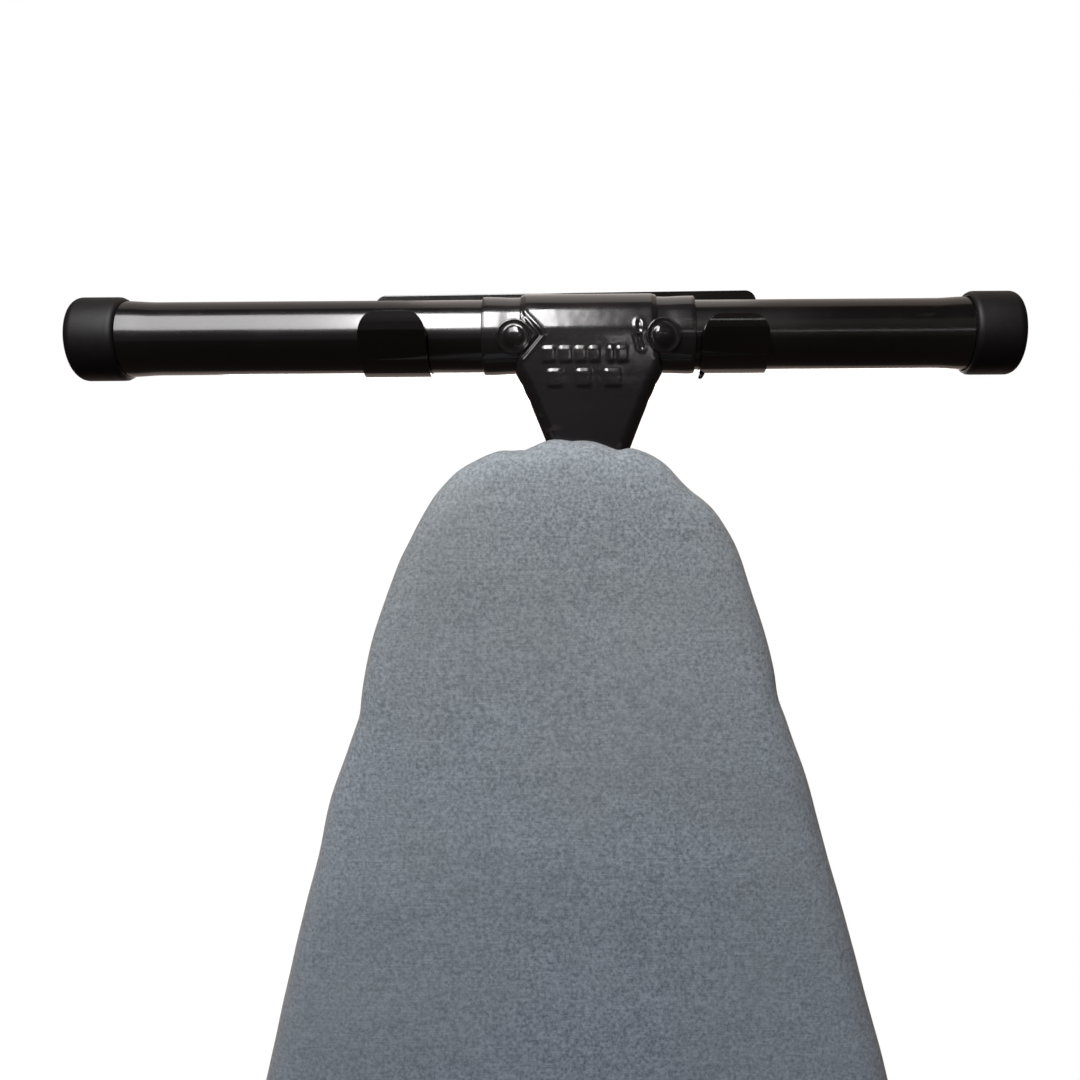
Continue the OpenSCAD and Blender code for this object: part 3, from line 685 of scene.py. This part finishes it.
# Raised blank pads on the front pressing, in mm: (x, u, half width, half height)
PADS = [(-17.0, -11.0, 2.9, 3.4), (-10.0, -11.0, 2.9, 3.4), (-3.5, -11.0, 2.6, 3.4), (2.4, -11.0, 2.5, 3.4),
        (9.4, -11.0, 1.4, 3.4), (14.2, -11.0, 2.5, 3.4),
        (-14.6, -21.0, 3.2, 3.8), (-2.3, -21.0, 3.2, 3.8), (10.2, -21.0, 3.8, 3.8)]
PAD_CORNER, PAD_LIFT = 1.3, 0.45


def spline(table, at):
    """Smooth value from a table of (place, value) pairs, places falling."""
    if at >= table[0][0]:
        return table[0][1]
    for i in range(len(table) - 1):
        (x0, y0), (x1, y1) = table[i], table[i + 1]
        if x1 <= at <= x0:
            ym = table[max(i - 1, 0)][1]
            yp = table[min(i + 2, len(table) - 1)][1]
            t = (x0 - at) / (x0 - x1)
            return 0.5 * (2 * y0 + (y1 - ym) * t + (2 * ym - 5 * y0 + 4 * y1 - yp) * t * t
                          + (3 * y0 - ym - 3 * y1 + yp) * t ** 3)
    return table[-1][1]


def inside_pad(x, u, pad):
    """Distance inside (+) or outside (-) the rim of a pad with rounded corners."""
    pad_x, pad_u, half_w, half_h = pad
    dx, du = abs(x - pad_x) - half_w + PAD_CORNER, abs(u - pad_u) - half_h + PAD_CORNER
    return PAD_CORNER - math.hypot(max(dx, 0.0), max(du, 0.0)) - min(max(dx, du), 0.0)


# Creases beside the rivets: (points, depth)
CREASES = [([(-29.5, 8.0), (-20.6, -2.4), (-28.5, -11.8)], 0.42), ([(21.4, 2.4), (21.6, -0.6)], 0.25),
           ([(21.2, -3.4), (22.4, -8.0)], 0.22)]


def off_line(x, u, points):
    """Distance from (x, u) to a line through points."""
    best = 1e9
    for (ax, ay), (bx, by) in zip(points, points[1:]):
        dx, dy = bx - ax, by - ay
        t = min(max(((x - ax) * dx + (u - ay) * dy) / (dx * dx + dy * dy), 0.0), 1.0)
        best = min(best, math.hypot(x - ax - t * dx, u - ay - t * dy))
    return best


def relief(x, u, front):
    """Height of the pressing's pads and creases over its smooth form, in mm; u runs down the front."""
    lift = 0.035 * noise.noise(Vector((x * 0.07, u * 0.07, 3.1)))
    lift += 0.015 * noise.noise(Vector((x * 0.3, u * 0.3, 6.4)))
    if not front:
        return lift
    for pad in PADS:
        depth = inside_pad(x, u, pad)
        if depth > -1:
            lift += PAD_LIFT * smoothstep(-0.5, 1.0, depth)
    for points, deep in CREASES:
        d = off_line(x, u, points)
        if d < 5:
            lift += deep * (0.5 * math.exp(-((d - 1.5) / 0.8) ** 2) - math.exp(-(d / 0.7) ** 2))
    return lift


def tee_surface(front):
    """Grid of points over one pressed half: round the tube from its top, then down to the leg, in mm."""
    top_r = SHELL_R * 1000
    path = []
    turns, rows_down = 44, 150
    for i in range(turns):
        a = math.pi / 2 * (1 + i / turns)
        path.append((top_r * math.cos(a), top_r * math.sin(a), (math.pi - a) * top_r))
    path += [(spline(TEE_LINE, -ROW_DOWN * k), -ROW_DOWN * k, -ROW_DOWN * k) for k in range(rows_down)]
    across = 121
    rows = []
    for y_front, z, u in path:
        half = spline(TEE_WIDTH, min(z, 0))
        wrap = smoothstep(-9, -19, z) if z < 0 else 0.0
        depth = PRESS_DEPTH + (abs(y_front) - PRESS_DEPTH - HALF_GAP) * wrap
        radius = 0.7 + (min(6.5, half * 0.45) - 0.7) * wrap
        slope = 1.2 * (1 - wrap)
        round_leg = smoothstep(-52, -68, z)
        row = []
        inward = Vector((0, -y_front, -z)).normalized() if z >= 0 else Vector((0, 1, 0))
        for k in range(across):
            s = -1 + 2 * k / (across - 1)
            flat = half - radius - slope * 0.6
            run = flat + slope * 0.6 + radius * math.pi / 2 + max(depth - radius, 0.0)
            at = abs(s) * run
            bend = at - flat - slope * 0.6
            if bend <= 0:
                x, back = at, 0.0
            elif bend <= radius * math.pi / 2:
                a = bend / radius
                x, back = half - radius + radius * math.sin(a), radius * (1 - math.cos(a))
            else:
                x, back = half, radius + bend - radius * math.pi / 2
            back += 0.45 * (1 - wrap) * smoothstep(half - 2.6, half - 0.8, x)
            x = math.copysign(x, s)
            lift = relief(x, u, front) * (1 - smoothstep(half - 1.6, half - 0.2, abs(x)))
            point = Vector((x, y_front, z)) + inward * (back - lift)
            if round_leg:
                a = math.copysign(min(abs(s), 1) * math.pi / 2, s)
                ring = Vector((NECK_R * math.sin(a), -NECK_R * math.cos(a), z))
                point = point.lerp(ring, round_leg)
            row.append(point)
        rows.append(row)
    return rows


def on_leg(x, y, z, x0, z0, leg_down):
    """Shared frame, in metres, from mm about a tee's centre at (x0, z0)."""
    return Vector((x0 + leg_down * x * MM, FOOT_Y + y * MM, z0 + leg_down * z * MM))


def build_tee(name, replaced, body, x0, z0, leg_down, front):
    """leg_down is 1 for the front leg's tee and -1 for the rear leg's, whose leg goes up."""
    rows = tee_surface(front)
    y_sign = 1 if front else -1
    verts = [on_leg(p.x, y_sign * p.y, p.z, x0, z0, leg_down) for row in rows for p in row]
    tee = mesh_object(name, verts, grid_faces(len(rows), len(rows[0]), flip=front))
    add_modifier(tee, "SOLIDIFY", thickness=SHELL_T, offset=-1)
    add_modifier(tee, "BEVEL", width=0.00035, segments=2, limit_method="ANGLE", angle_limit=math.radians(60))
    apply_modifiers(tee)
    finish_with(tee, "tee_black")
    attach(tee, body)
    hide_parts(replaced)


# Radial profile of an ear and its rivet, in mm from the sleeve: (radius, height)
RIVET = [(0.0, 1.35), (1.0, 1.33), (2.0, 1.24), (3.0, 1.02), (3.8, 0.70), (4.3, 0.38), (4.6, 0.18),
         (5.0, 0.10), (5.6, 0.16), (6.2, 0.34), (6.7, 0.58), (7.0, 0.70), (7.25, 0.72), (7.45, 0.62),
         (7.6, 0.4), (7.7, 0.1)]
RIVET_X, RIVET_Z = 32, -3     # from the tee's centre, in mm


def build_rivets(name, node, body, x0, z0, leg_down):
    """Rivets with their round ears, curved to the sleeve, at the front and the back."""
    verts, faces = [], []
    steps = 64
    sleeve = SLEEVE_R / MM
    for side in (-1, 1):
        for y_sign in (-1, 1):
            base = len(verts)
            for radius, height in RIVET + [(RIVET[-1][0], None)]:
                for k in range(steps):
                    a = 2 * math.pi * k / steps
                    x, z = side * RIVET_X + radius * math.cos(a), radius * math.sin(a) + RIVET_Z
                    under = math.sqrt(sleeve * sleeve - z * z)
                    if height is None:
                        out = under - 0.4
                    else:
                        shell = -spline(TEE_LINE, z) if z < 0 else math.sqrt((SHELL_R / MM) ** 2 - z * z)
                        out = under + (shell - under) * (1 - smoothstep(27, 35, abs(x)))
                        out += height + 0.06 * noise.noise(Vector((x * 0.5, z * 0.5 + y_sign, side * 2.0)))
                    verts.append(on_leg(x, y_sign * out, z, x0, z0, leg_down))
            faces += [tuple(base + i for i in f)
                      for f in grid_faces(len(RIVET) + 1, steps, True, flip=(y_sign < 0) == (leg_down > 0))]
    rivets = mesh_object(name, verts, faces)
    add_modifier(rivets, "WELD", merge_threshold=0.000005)
    add_modifier(rivets, "SUBSURF", levels=1, render_levels=1)
    apply_modifiers(rivets)
    finish_with(rivets, "tee_black")
    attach(rivets, body)
    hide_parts(node)


# ---------- foot tube and sleeve ----------

def build_tube(name, node, body, slot, reach, wall, radius_at):
    """Hollow tube along X between reach[0] and reach[1], its outer radius given by radius_at(x)."""
    lo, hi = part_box(node)
    y0, z0 = (lo.y + hi.y) / 2, (lo.z + hi.z) / 2
    count = round((reach[1] - reach[0]) / 0.0022)
    along = [reach[0] + (reach[1] - reach[0]) * i / count for i in range(count + 1)]
    ease = 0.00035
    outer = [(x, radius_at(x)) for x in along[1:-1]]
    section = [(along[0], outer[0][1] - ease), (along[0] + ease * 0.3, outer[0][1] - ease * 0.3),
               (along[0] + ease, outer[0][1])] + outer
    section += [(along[-1] - ease, outer[-1][1]), (along[-1] - ease * 0.3, outer[-1][1] - ease * 0.3),
                (along[-1], outer[-1][1] - ease)]
    section += [(x, r - wall) for x, r in (section[-1], section[0])]
    section.append(section[0])
    steps = 128
    verts = []
    for x, r in section:
        for k in range(steps):
            a = 2 * math.pi * k / steps
            dent = 0.00004 * noise.noise(Vector((x * 34, math.cos(a) * 1.6, math.sin(a) * 1.6)))
            verts.append(Vector((x, y0 + (r + dent) * math.cos(a), z0 + (r + dent) * math.sin(a))))
    tube = mesh_object(name, verts, grid_faces(len(section), steps, True))
    add_modifier(tube, "WELD", merge_threshold=0.000005)
    add_modifier(tube, "BEVEL", width=0.0002, segments=2, limit_method="ANGLE", angle_limit=math.radians(60))
    apply_modifiers(tube)
    finish_with(tube, slot)
    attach(tube, body)
    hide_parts(node)


# ---------- wall hanger ----------

HOOK_W, HOOK_R, HANGER_T, STUB_LEN = 0.0288, 0.0205, 0.0015, 0.0024
TIP_RISE = 0.0052                       # a hook's tip above the foot's centre
TIP_WIDE, TIP_HIGH = 0.0078, 0.0105     # rounding of a hook's tip: across, and down
RIGHT_LIFT = 0.0007     # the right hook is bent a little flatter underneath
LEFT_TIP = 0.0022       # the left hook is a little longer
SKEW = 0.0013           # the plate's top edge rises to the right
PLATE_CORNER, SCREW_X, SCREW_R = 0.005, 0.070, 0.0025
# The stub's radius from its top to its tip: (share of its length, radius)
STUB = [(0, 0.0015), (0.25, 0.0012), (0.6, 0.00105), (0.85, 0.00095), (0.97, 0.0006), (1.0, 0.0001)]
hanger_lo, hanger_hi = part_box("wall_hanger")
HOOK_Z = hanger_lo.z + STUB_LEN + HANGER_T + HOOK_R


def corner(cx, cz, radius, start, steps=10):
    """A quarter turn clockwise from the angle start."""
    turn = [start - i * math.pi / 2 / steps for i in range(steps + 1)]
    return [(cx + radius * math.cos(a), cz + radius * math.sin(a)) for a in turn]


def build_hanger():
    """Steel plate with two screw holes and two broad J hooks, bent from one sheet."""
    half = hanger_hi.x
    inner = half - HOOK_W
    low, high = FOOT_Z - 0.012, hanger_hi.z
    soft = 0.00035
    corner_x, corner_z = half - PLATE_CORNER, high - PLATE_CORNER
    plate = [(-inner, low), (-inner, HOOK_Z), (-half, HOOK_Z)]
    plate += corner(-corner_x, corner_z, PLATE_CORNER, math.pi)
    plate += corner(corner_x, corner_z + SKEW, PLATE_CORNER, math.pi / 2)
    plate += [(half, HOOK_Z), (inner, HOOK_Z), (inner, low)]
    holes = [circle(side * SCREW_X, 0, SCREW_R, 32) for side in (-1, 1)]
    flat = cut_sheet("hanger_plate", [plate] + holes, HANGER_T / 2 - soft,
                     bevel_depth=soft, bevel_resolution=3, offset=-soft)
    verts = [Vector((v.co.x, -HANGER_T / 2 - v.co.z, v.co.y)) for v in flat.vertices]
    faces = [tuple(f.vertices) for f in flat.polygons]
    bpy.data.meshes.remove(flat)
    plate_obj = mesh_object("hanger_plate_sheet", verts, faces, smooth=False)

    # Hooks: down from the plate, half a turn under the tube and straight up to a rounded tip
    mid_r = HOOK_R + HANGER_T / 2
    tip_z = FOOT_Z + TIP_RISE
    turns = 96
    bend = [(-HANGER_T / 2, HOOK_Z + 0.003)]
    bend += [(-HANGER_T / 2 - mid_r + mid_r * math.cos(a), HOOK_Z + mid_r * math.sin(a))
             for a in [-i * math.pi / turns for i in range(turns + 1)]]
    hooks, hook_faces = [], []
    across = 25
    for side in (-1, 1):
        centre = side * (half - HOOK_W / 2)
        base = len(hooks)
        tip = tip_z + (LEFT_TIP if side < 0 else 0)
        lift = RIGHT_LIFT / mid_r if side > 0 else 0
        straight = [tip - TIP_HIGH * (1 - math.sin(i * math.pi / 60)) for i in range(31)]
        path = [(y, z - lift * min(z - HOOK_Z, 0)) for y, z in bend]
        path += [(bend[-1][0], z) for z in straight if z > HOOK_Z + 0.0002]
        for y, z in path:
            near_tip = max(z - (tip - TIP_HIGH), 0.0) / TIP_HIGH if y < FOOT_Y else 0.0
            narrow = TIP_WIDE * (1 - math.sqrt(max(1 - near_tip ** 2, 0.0)))
            for k in range(across):
                hooks.append(Vector((centre + (HOOK_W / 2 - narrow) * (-1 + 2 * k / (across - 1)), y, z)))
        hook_faces += [tuple(base + i for i in f) for f in grid_faces(len(path), across)]
    hook_obj = mesh_object("hanger_hook_sheets", hooks, hook_faces)
    add_modifier(hook_obj, "SOLIDIFY", thickness=HANGER_T, offset=0)
    add_modifier(hook_obj, "BEVEL", width=soft, segments=3, limit_method="ANGLE",
                 angle_limit=math.radians(60), harden_normals=True)
    apply_modifiers(hook_obj)

    # Stub under the right hook, a little bent
    stub_top = Vector((half - HOOK_W + 0.0019, FOOT_Y, HOOK_Z - HOOK_R - HANGER_T * 0.6 + RIGHT_LIFT))
    stub_tip = Vector((half - HOOK_W + 0.0005, FOOT_Y - 0.0004, hanger_lo.z + RIGHT_LIFT))
    round_steps = 20
    stub = []
    for t, radius in STUB:
        centre = stub_top.lerp(stub_tip, t)
        stub += [Vector((x, y, centre.z)) for x, y in circle(centre.x, centre.y, radius, round_steps)]
    ends = [tuple(range(round_steps - 1, -1, -1)), tuple(range(len(stub) - round_steps, len(stub)))]
    stub_faces = grid_faces(len(STUB), round_steps, True, flip=True)
    stub_obj = mesh_object("hanger_stub", stub, stub_faces + ends)
    for obj in (plate_obj, hook_obj, stub_obj):
        finish_with(obj, "hanger_black")
        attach(obj, "hanger")
        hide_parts("wall_hanger")


# ---------- end caps ----------

def build_cap(name, node, body, towards):
    """Slip-on cap with a rounded closed end; towards is +1 if that end faces +X."""
    lo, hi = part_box(node)
    length, radius = hi.x - lo.x, (hi.z - lo.z) / 2
    edge = 0.0046
    profile = [(0.0, 0.0006), (0.004, 0.0004), (radius - edge - 0.002, 0.0)]
    profile += [(radius - edge + edge * math.sin(a), edge * (1 - math.cos(a)))
                for a in [i * math.pi / 20 for i in range(11)]]
    profile += [(radius, length * 0.5), (radius, length - 0.0030), (radius - 0.0001, length - 0.0016),
                (radius - 0.0007, length - 0.0004), (radius - 0.0016, length), (FOOT_R + 0.0004, length),
                (FOOT_R + 0.0001, length - 0.0006), (FOOT_R + 0.0001, length - 0.004)]
    end = Vector((hi.x if towards > 0 else lo.x, (lo.y + hi.y) / 2, (lo.z + hi.z) / 2))
    cap = lathe(name, profile, end, -towards)
    finish_with(cap, "cap_plastic")
    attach(cap, body)
    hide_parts(node)


# ---------- every piece in place ----------

SLIMMER = 0.0006      # the foot tube's right half is drawn this much smaller in radius
FLARE = 0.014         # the tube widens by as much again over this length before each cap


def foot_radius(x, x0, cap_lo, cap_hi):
    """Outer radius of a foot tube at x; its tee is at x0 and its caps start at cap_lo and cap_hi."""
    at_cap = max(1 - smoothstep(0, FLARE, x - cap_lo), smoothstep(-FLARE, 0, x - cap_hi))
    between = cap_lo - 0.002 < x < cap_hi + 0.002
    return FOOT_R - SLIMMER * smoothstep(0.028, 0.042, x - x0) + SLIMMER * at_cap * between


def sleeve_radius(off):
    """Outer radius of a sleeve at a distance from its tee's centre: a little smaller at the rivets."""
    return (SLEEVE_R - 0.0004 + 0.0002 * smoothstep(0.034, 0.048, off)
            - 0.0002 * math.exp(-((off - 0.033) / 0.004) ** 2))


build_hanger()
build_top()
build_pad()
build_cover()

for leg, sign in (("front", 1), ("rear", -1)):
    lo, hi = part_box(f"{leg}_foot_sleeve")
    tube_lo, tube_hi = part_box(f"{leg}_foot_tube")
    leg_lo, leg_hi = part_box(f"{leg}_leg_tube")
    cap_lo, cap_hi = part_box(f"{leg}_foot_cap_left")[1].x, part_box(f"{leg}_foot_cap_right")[0].x
    x0 = (leg_lo.x + leg_hi.x) / 2
    z0 = (tube_lo.z + tube_hi.z) / 2
    body = f"{leg}_leg"
    build_tee(f"{leg}_tee_pressing", f"{leg}_tee_shell", body, x0, z0, sign, True)
    build_tee(f"{leg}_tee_rear_pressing", f"{leg}_tee_back", body, x0, z0, sign, False)
    build_rivets(f"{leg}_tee_rivet_heads", f"{leg}_tee_rivets", body, x0, z0, sign)
    build_tube(f"{leg}_foot_pipe", f"{leg}_foot_tube", body, "tube_black", (tube_lo.x, tube_hi.x), 0.0015,
               lambda x: foot_radius(x, x0, cap_lo, cap_hi))
    build_tube(f"{leg}_sleeve_pipe", f"{leg}_foot_sleeve", body, "tee_black", (lo.x, hi.x), 0.0009,
               lambda x: sleeve_radius(abs(x - x0)))
    build_cap(f"{leg}_cap_moulding_left", f"{leg}_foot_cap_left", body, -1)
    build_cap(f"{leg}_cap_moulding_right", f"{leg}_foot_cap_right", body, 1)


# ---------- floor, light and camera ----------

def softbox(name, x, elevation, distance, size, radiance, colour=(1, 1, 1)):
    """Area light x to the right of the camera's axis, at an elevation in degrees seen from the foot.

    Past 90 degrees, up or down, it stands behind the foot. radiance is its brightness per area.
    """
    el = math.radians(elevation)
    away = Vector((0, -math.cos(el), math.sin(el)))
    light = bpy.data.lights.new(name, "AREA")
    light.shape = "RECTANGLE"
    light.size, light.size_y = size
    light.energy = radiance * math.pi * size[0] * size[1]
    light.color = colour
    obj = bpy.data.objects.new(name, light)
    obj.location = Vector((CAMERA_X + x, FOOT_Y, FOOT_Z)) + away * distance
    obj.rotation_euler = away.to_track_quat("Z", "Y").to_euler()
    obj.visible_camera = False
    bpy.context.scene.collection.objects.link(obj)


CAMERA_X, CAMERA_Y, CAMERA_DROP = 0.009, -0.512, 0.090     # the drop is below the foot
CAMERA_ROLL = math.radians(0.42)

# The floor fades out towards its rim, into the white behind it
FLOOR_R, FADE_FROM, FLOOR_GAP, RIM_STEPS = 1.25, 0.2, 0.05, 128
floor_z = cad_box[0].z - FLOOR_GAP
rim = [(x, y, floor_z) for x, y in circle(0, 0, FLOOR_R, RIM_STEPS)]
floor = mesh_object("floor", rim, [tuple(range(RIM_STEPS))])
paint = Nodes("pale_floor")
colour = paint.ramp(paint.noise(3, 3), (0.70, 0.70, 0.69), (0.75, 0.75, 0.74))
paint.link(colour, paint.shader.inputs["Base Color"])
paint.set(Roughness=0.8)
reach = paint.tree.nodes.new("ShaderNodeVectorMath")
reach.operation = "LENGTH"
paint.link(paint.stretched((1, 1, 0)), reach.inputs[0])
fade = paint.sharpen(reach.outputs["Value"], FADE_FROM, FLOOR_R)
paint.link(paint.ramp(fade, 1.0, 0.0), paint.shader.inputs["Alpha"])
floor.data.materials.append(paint.material)
floor.visible_glossy = False

# name, x, elevation, distance, (width, height), radiance, colour
softbox("key", -0.187, 41.5, 1.15, (0.286, 1.05), 30, (1.0, 0.99, 0.99))
softbox("key_left", -0.55, 41.5, 1.15, (0.44, 1.05), 8.5, (1.0, 0.985, 0.99))
softbox("overhead_left", -0.72, 125, 1.6, (0.8, 2.0), 0.45, (1.0, 0.92, 0.88))
softbox("overhead", 0, 125, 1.6, (0.64, 2.0), 0.95, (1.0, 0.92, 0.86))
softbox("overhead_right", 0.82, 125, 1.6, (1.0, 2.0), 0.5, (1.0, 0.84, 0.74))
softbox("strip", 0.55, 1.5, 2.2, (1.0, 0.03), 8)
for front_el, front_dim in ((30, 1.0), (12, 0.7), (-6, 0.4)):
    softbox(f"front_left_{front_el}", -0.7, front_el, 1.9, (1.4, 0.6), 0.30 * front_dim, (1.0, 0.92, 1.0))
    softbox(f"front_right_{front_el}", 0.7, front_el, 1.9, (1.4, 0.6), 0.15 * front_dim, (1.0, 0.84, 0.78))
softbox("rear", 0, 180, 2.3, (1.8, 0.9), 4, (1.0, 0.98, 0.96))
softbox("back", 0, -160, 1.5, (2.2, 1.2), 0.42, (1.0, 0.80, 0.70))

# White behind the object, and a dim warm room for what its surfaces reflect
world = bpy.data.worlds.new("studio")
bpy.context.scene.world = world
world.use_nodes = True
tree = world.node_tree
tree.nodes.clear()
seen = tree.nodes.new("ShaderNodeBackground")
seen.inputs["Color"].default_value = (1, 1, 1, 1)
seen.inputs["Strength"].default_value = 1.0
room = tree.nodes.new("ShaderNodeBackground")
room.inputs["Color"].default_value = (1.0, 0.74, 0.66, 1)
room.inputs["Strength"].default_value = 0.06
path = tree.nodes.new("ShaderNodeLightPath")
choose = tree.nodes.new("ShaderNodeMixShader")
out = tree.nodes.new("ShaderNodeOutputWorld")
tree.links.new(path.outputs["Is Camera Ray"], choose.inputs["Fac"])
tree.links.new(room.outputs["Background"], choose.inputs[1])
tree.links.new(seen.outputs["Background"], choose.inputs[2])
tree.links.new(choose.outputs["Shader"], out.inputs["Surface"])
bpy.context.scene.view_settings.view_transform = "Standard"

camera = bpy.data.objects.new("camera", bpy.data.cameras.new("camera"))
camera.data.sensor_width = 36
camera.data.lens = 37.03
camera.data.shift_x = -0.0435
camera.data.clip_start = 0.02
camera.location = (CAMERA_X, CAMERA_Y, FOOT_Z - CAMERA_DROP)
camera.rotation_euler = (math.pi / 2, CAMERA_ROLL, 0)
bpy.context.scene.collection.objects.link(camera)
bpy.context.scene.camera = camera

bpy.context.view_layer.update()
